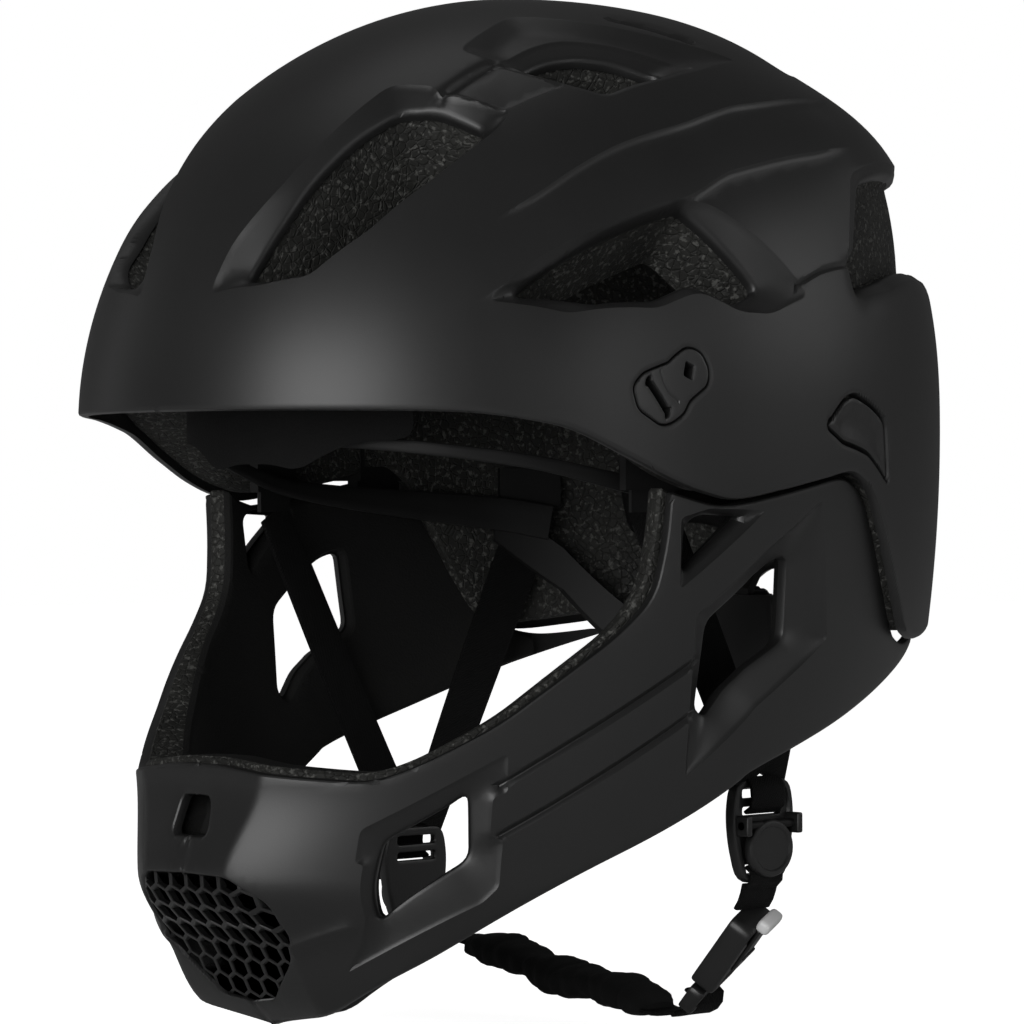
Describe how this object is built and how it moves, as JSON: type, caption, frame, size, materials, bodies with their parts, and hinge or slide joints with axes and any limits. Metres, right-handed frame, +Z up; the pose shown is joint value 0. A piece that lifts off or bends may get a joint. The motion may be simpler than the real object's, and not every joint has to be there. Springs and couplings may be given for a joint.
{
  "type": "full face bike helmet",
  "caption": "Matte black full face bike helmet with a pull-off chin guard, vented shell, foam liner, nape dial and buckled chin strap.",
  "frame": {"origin": "middle of the head's ring, on the helmet's middle plane and level with the brow edge", "axes": "the helmet faces -Y, +X is the wearer's left, +Z is up towards the crown"},
  "size_m": [0.2136, 0.287, 0.3016],
  "materials": {
    "shell": "matte",
    "foam": "speckled foam",
    "plastic": "satin",
    "pad": "soft",
    "webbing": "woven",
    "tab": "satin",
    "metal": "brushed"
  },
  "bodies": {
    "helmet": {"outer_shell": "shell", "impact_liner": "foam", "visor_anchor_left": "plastic", "visor_anchor_right": "plastic", "guard_socket_left": "plastic", "guard_socket_right": "plastic", "brow_pad": "pad", "side_pad_left": "pad", "side_pad_right": "pad", "nape_pad_left": "pad", "nape_pad_right": "pad", "crown_pads": "pad", "strap_anchors": "plastic", "front_strap_left": "webbing", "rear_strap_left": "webbing", "strap_divider_left": "plastic", "divider_pin_left": "metal", "lower_strap_left": "webbing", "buckle_socket": "plastic", "dial_housing": "plastic", "headband_front": "plastic", "headband_yoke": "plastic"},
    "chin_guard": {"chin_guard": "shell", "guard_post_left": "plastic", "guard_post_right": "plastic", "chin_grille": "shell", "guard_liner_left": "foam", "guard_liner_right": "foam", "chin_pad": "foam"},
    "button_left": {"release_button_left": "shell", "button_spring_left": "metal"},
    "button_right": {"release_button_right": "shell", "button_spring_right": "metal"},
    "right_strap": {"front_strap_right": "webbing", "rear_strap_right": "webbing", "strap_divider_right": "plastic", "divider_pin_right": "metal", "chin_strap": "webbing", "chin_strap_pad": "pad", "buckle_tongue": "plastic"},
    "lever_left": {"divider_lever_left": "plastic"},
    "lever_right": {"divider_lever_right": "plastic"},
    "dial": {"dial_knob": "plastic", "dial_pinion": "plastic", "dial_screw": "metal"},
    "band_left": {"headband_left": "plastic"},
    "band_right": {"headband_right": "plastic"},
    "buckle_tab": {"buckle_tab": "tab"}
  },
  "joints": [
    {"name": "chin_guard_pull", "type": "slide", "parent": "helmet", "child": "chin_guard", "axis": [0, 0, -1], "range_m": [0, 0.023]},
    {"name": "release_left", "type": "slide", "parent": "helmet", "child": "button_left", "axis": [-1, 0, 0], "range_m": [0, 0.002], "stiffness_N_per_m": 900, "springref_m": -0.002},
    {"name": "release_right", "type": "slide", "parent": "helmet", "child": "button_right", "axis": [1, 0, 0], "range_m": [0, 0.002], "stiffness_N_per_m": 900, "springref_m": -0.002},
    {"name": "strap_open", "type": "hinge", "parent": "helmet", "child": "right_strap", "pos_m": [-0.08031, 0.028, -0.04252], "axis": [0, 1, 0], "range_deg": [0, 4]},
    {"name": "lever_left_turn", "type": "hinge", "parent": "helmet", "child": "lever_left", "pos_m": [0.07665, 0.028, -0.117], "axis": [0, -1, 0], "range_deg": [0, 65]},
    {"name": "lever_right_turn", "type": "hinge", "parent": "right_strap", "child": "lever_right", "pos_m": [-0.07665, 0.028, -0.138], "axis": [0, 1, 0], "range_deg": [0, 65]},
    {"name": "dial_turn", "type": "hinge", "parent": "helmet", "child": "dial", "pos_m": [0, 0.1, -0.064], "axis": [0, 1, 0], "range_deg": [0, 150]},
    {"name": "band_left_draw", "type": "hinge", "parent": "helmet", "child": "band_left", "pos_m": [0, 0.022, -0.064], "axis": [0, 0, 1], "range_deg": [0, 8.5]},
    {"name": "band_right_draw", "type": "hinge", "parent": "helmet", "child": "band_right", "pos_m": [0, 0.022, -0.064], "axis": [0, 0, -1], "range_deg": [0, 8.5]},
    {"name": "tab_pull", "type": "slide", "parent": "helmet", "child": "buckle_tab", "axis": [0.6702, 0, 0.7422], "range_m": [0, 0.003], "stiffness_N_per_m": 400, "springref_m": -0.001}
  ],
  "couplings": [
    {"joint": "band_left_draw", "follows": "dial_turn", "ratio": 0.054422},
    {"joint": "band_right_draw", "follows": "dial_turn", "ratio": 0.054422}
  ]
}
